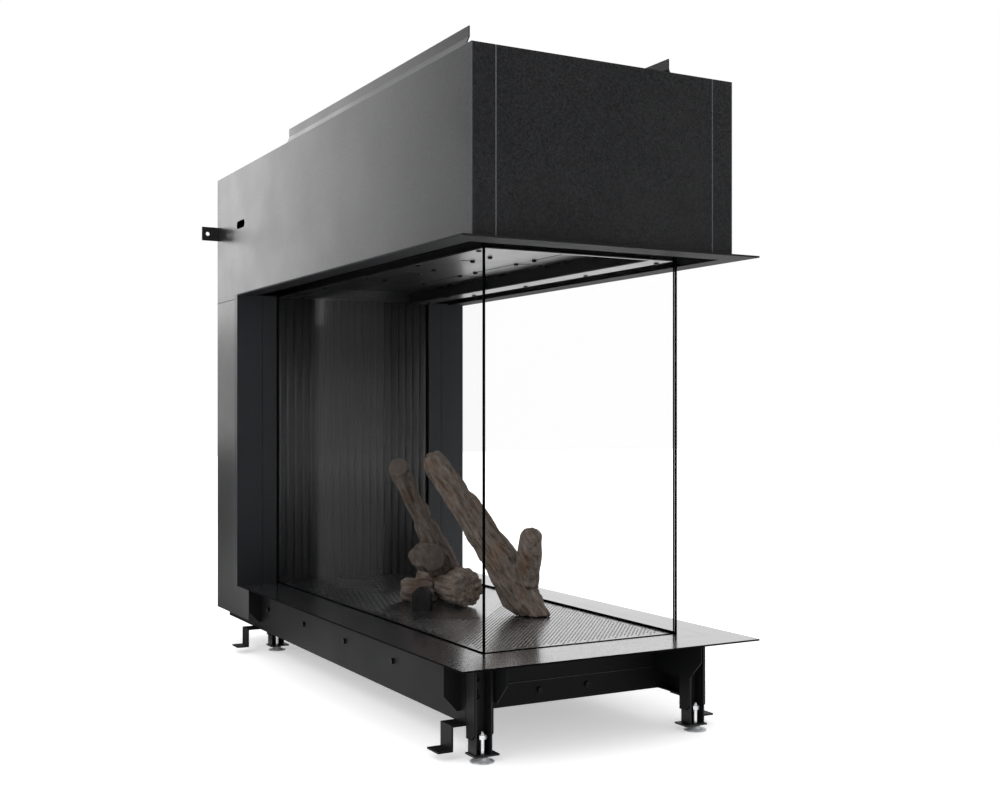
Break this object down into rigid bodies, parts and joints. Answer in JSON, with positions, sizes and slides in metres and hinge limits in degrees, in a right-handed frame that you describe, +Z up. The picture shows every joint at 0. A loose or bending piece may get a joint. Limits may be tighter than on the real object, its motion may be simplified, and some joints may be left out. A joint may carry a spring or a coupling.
{
  "type": "gas fireplace",
  "caption": "Built-in gas fireplace with glass on both long sides and the nose, ceramic logs on a slotted burner deck, sheet-metal hood and telescoping legs.",
  "frame": {"origin": "On the floor under the middle of the part's box.", "axes": "+Z is up, +X points to the glazed nose, the long panes face +Y (left) and -Y (right)."},
  "size_m": [1.373, 0.5912, 1.181],
  "materials": {
    "anthracite_coat": "satin",
    "satin_trim": "satin",
    "black_steel": "matte",
    "zinc_steel": "satin",
    "clear_glass": "gloss",
    "ceramic_wood": "matte"
  },
  "bodies": {
    "casing": {"back_panel": "anthracite_coat", "base_plate": "anthracite_coat", "bottom_strip_left": "satin_trim", "bottom_strip_nose": "satin_trim", "bottom_strip_right": "satin_trim", "bottom_trim": "satin_trim", "burner_plate": "satin_trim", "burner_tray": "black_steel", "ceiling_baffles": "black_steel", "ceiling_bolts": "black_steel", "ceiling_strips": "satin_trim", "column_flange_left": "satin_trim", "column_flange_right": "satin_trim", "column_side_left": "anthracite_coat", "column_side_right": "anthracite_coat", "column_strip_left": "satin_trim", "column_strip_right": "satin_trim", "cross_log": "ceramic_wood", "deck_plate_back": "satin_trim", "deck_plate_nose": "satin_trim", "firebox_roof": "black_steel", "floor_brackets": "anthracite_coat", "flue_collar_outer": "zinc_steel", "flue_pipe_inner": "zinc_steel", "forked_log": "ceramic_wood", "frame_bolts": "zinc_steel", "gas_inlet": "zinc_steel", "hood_side_left": "anthracite_coat", "hood_side_right": "anthracite_coat", "hood_top_plate": "anthracite_coat", "leaning_log": "ceramic_wood", "leg_guides": "anthracite_coat", "nose_beam": "anthracite_coat", "nose_panel": "anthracite_coat", "pilot_cover": "black_steel", "ribbed_liner": "black_steel", "short_log": "ceramic_wood", "skirt_left": "anthracite_coat", "skirt_right": "anthracite_coat", "strip_screws": "black_steel", "top_rail_left": "anthracite_coat", "top_rail_right": "anthracite_coat", "top_trim": "satin_trim", "trim_gussets": "anthracite_coat", "wall_brackets": "anthracite_coat"},
    "leg_front_left_body": {"leg_front_left": "anthracite_coat"},
    "foot_front_left_body": {"foot_pad_front_left": "zinc_steel", "foot_stud_front_left": "zinc_steel"},
    "leg_front_right_body": {"leg_front_right": "anthracite_coat"},
    "foot_front_right_body": {"foot_pad_front_right": "zinc_steel", "foot_stud_front_right": "zinc_steel"},
    "leg_back_left_body": {"leg_back_left": "anthracite_coat"},
    "foot_back_left_body": {"foot_pad_back_left": "zinc_steel", "foot_stud_back_left": "zinc_steel"},
    "leg_back_right_body": {"leg_back_right": "anthracite_coat"},
    "foot_back_right_body": {"foot_pad_back_right": "zinc_steel", "foot_stud_back_right": "zinc_steel"},
    "pane_left": {"glass_left": "clear_glass"},
    "pane_right": {"glass_right": "clear_glass"},
    "pane_nose": {"glass_nose": "clear_glass"}
  },
  "joints": [
    {"name": "leg_front_left_extend", "type": "slide", "parent": "casing", "child": "leg_front_left_body", "axis": [0, 0, -1], "range_m": [0, 0.08]},
    {"name": "foot_front_left_adjust", "type": "slide", "parent": "leg_front_left_body", "child": "foot_front_left_body", "axis": [0, 0, -1], "range_m": [0, 0.0235]},
    {"name": "leg_front_right_extend", "type": "slide", "parent": "casing", "child": "leg_front_right_body", "axis": [0, 0, -1], "range_m": [0, 0.08]},
    {"name": "foot_front_right_adjust", "type": "slide", "parent": "leg_front_right_body", "child": "foot_front_right_body", "axis": [0, 0, -1], "range_m": [0, 0.0235]},
    {"name": "leg_back_left_extend", "type": "slide", "parent": "casing", "child": "leg_back_left_body", "axis": [0, 0, -1], "range_m": [0, 0.08]},
    {"name": "foot_back_left_adjust", "type": "slide", "parent": "leg_back_left_body", "child": "foot_back_left_body", "axis": [0, 0, -1], "range_m": [0, 0.0235]},
    {"name": "leg_back_right_extend", "type": "slide", "parent": "casing", "child": "leg_back_right_body", "axis": [0, 0, -1], "range_m": [0, 0.08]},
    {"name": "foot_back_right_adjust", "type": "slide", "parent": "leg_back_right_body", "child": "foot_back_right_body", "axis": [0, 0, -1], "range_m": [0, 0.0235]},
    {"name": "pane_left_lift", "type": "slide", "parent": "casing", "child": "pane_left", "axis": [0, 0, 1], "range_m": [0, 0.012]},
    {"name": "pane_right_lift", "type": "slide", "parent": "casing", "child": "pane_right", "axis": [0, 0, 1], "range_m": [0, 0.012]},
    {"name": "pane_nose_lift", "type": "slide", "parent": "casing", "child": "pane_nose", "axis": [0, 0, 1], "range_m": [0, 0.012]}
  ]
}
